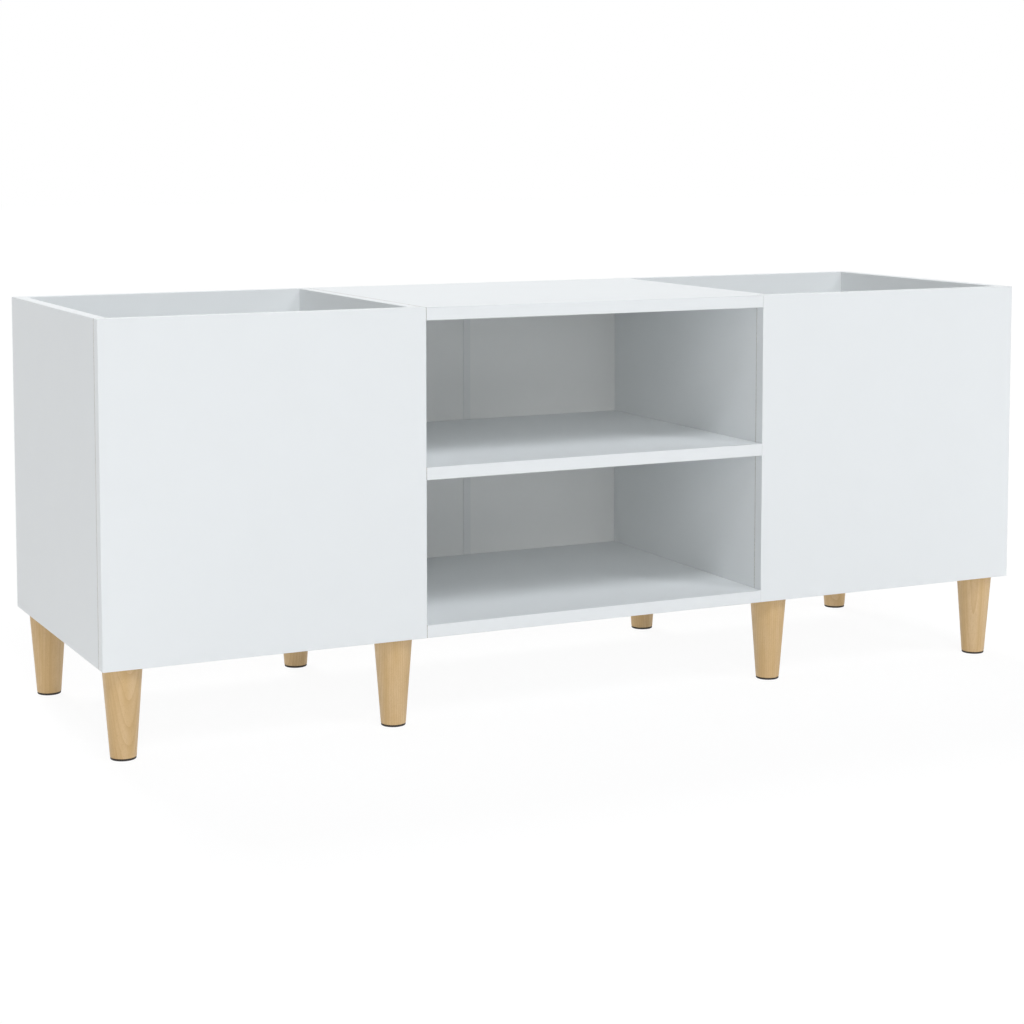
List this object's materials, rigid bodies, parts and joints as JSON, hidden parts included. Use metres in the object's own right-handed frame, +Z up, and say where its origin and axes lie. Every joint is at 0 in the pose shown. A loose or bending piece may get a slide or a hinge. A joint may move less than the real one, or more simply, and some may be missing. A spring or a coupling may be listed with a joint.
{
  "type": "record cabinet",
  "caption": "Low cabinet on short tapered round legs, with an open-topped record bin at each end and open-fronted compartments between them.",
  "frame": {"origin": "on the floor, under the middle of the cabinet's width and depth", "axes": "+X to the right of someone facing the open front, +Y to the back, +Z up"},
  "size_m": [1.21, 0.38, 0.484],
  "materials": {
    "melamine_board": "chipboard faced and edged in white melamine, fine satin",
    "lacquered_hardboard": "thin hardboard, lacquered white inside",
    "strip_plastic": "extruded white plastic, satin",
    "leg_beech": "turned light hardwood, clear matt lacquer",
    "glide_plastic": "near-black moulded plastic, matt",
    "zinc_plated_steel": "bright zinc plating",
    "cast_zinc": "die-cast zinc, as cast"
  },
  "bodies": {
    "root": {"left_side_panel": "melamine_board", "left_divider": "melamine_board", "left_front_panel": "melamine_board", "left_back_panel": "melamine_board", "left_bin_floor": "melamine_board", "right_side_panel": "melamine_board", "right_divider": "melamine_board", "right_front_panel": "melamine_board", "right_back_panel": "melamine_board", "right_bin_floor": "melamine_board", "top_panel": "melamine_board", "middle_shelf": "melamine_board", "bottom_panel": "melamine_board", "left_back_sheet": "lacquered_hardboard", "right_back_sheet": "lacquered_hardboard", "back_joining_strip": "strip_plastic", "leg_front_outer_left": "leg_beech", "leg_rear_outer_left": "leg_beech", "leg_front_inner_left": "leg_beech", "leg_rear_inner_left": "leg_beech", "leg_front_outer_right": "leg_beech", "leg_rear_outer_right": "leg_beech", "leg_front_inner_right": "leg_beech", "leg_rear_inner_right": "leg_beech", "glide_front_outer_left": "glide_plastic", "glide_rear_outer_left": "glide_plastic", "glide_front_inner_left": "glide_plastic", "glide_rear_inner_left": "glide_plastic", "glide_front_outer_right": "glide_plastic", "glide_rear_outer_right": "glide_plastic", "glide_front_inner_right": "glide_plastic", "glide_rear_inner_right": "glide_plastic", "leg_bolt_front_outer_left": "zinc_plated_steel", "leg_bolt_rear_outer_left": "zinc_plated_steel", "leg_bolt_front_inner_left": "zinc_plated_steel", "leg_bolt_rear_inner_left": "zinc_plated_steel", "leg_bolt_front_outer_right": "zinc_plated_steel", "leg_bolt_rear_outer_right": "zinc_plated_steel", "leg_bolt_front_inner_right": "zinc_plated_steel", "leg_bolt_rear_inner_right": "zinc_plated_steel", "leg_insert_front_outer_left": "zinc_plated_steel", "leg_insert_rear_outer_left": "zinc_plated_steel", "leg_insert_front_inner_left": "zinc_plated_steel", "leg_insert_rear_inner_left": "zinc_plated_steel", "leg_insert_front_outer_right": "zinc_plated_steel", "leg_insert_rear_outer_right": "zinc_plated_steel", "leg_insert_front_inner_right": "zinc_plated_steel", "leg_insert_rear_inner_right": "zinc_plated_steel", "top_cam_fitting_front_left": "cast_zinc", "top_cam_fitting_rear_left": "cast_zinc", "top_cam_fitting_front_right": "cast_zinc", "top_cam_fitting_rear_right": "cast_zinc", "shelf_cam_fitting_front_left": "cast_zinc", "shelf_cam_fitting_rear_left": "cast_zinc", "shelf_cam_fitting_front_right": "cast_zinc", "shelf_cam_fitting_rear_right": "cast_zinc", "bottom_cam_fitting_front_left": "cast_zinc", "bottom_cam_fitting_rear_left": "cast_zinc", "bottom_cam_fitting_front_right": "cast_zinc", "bottom_cam_fitting_rear_right": "cast_zinc"}
  },
  "joints": []
}
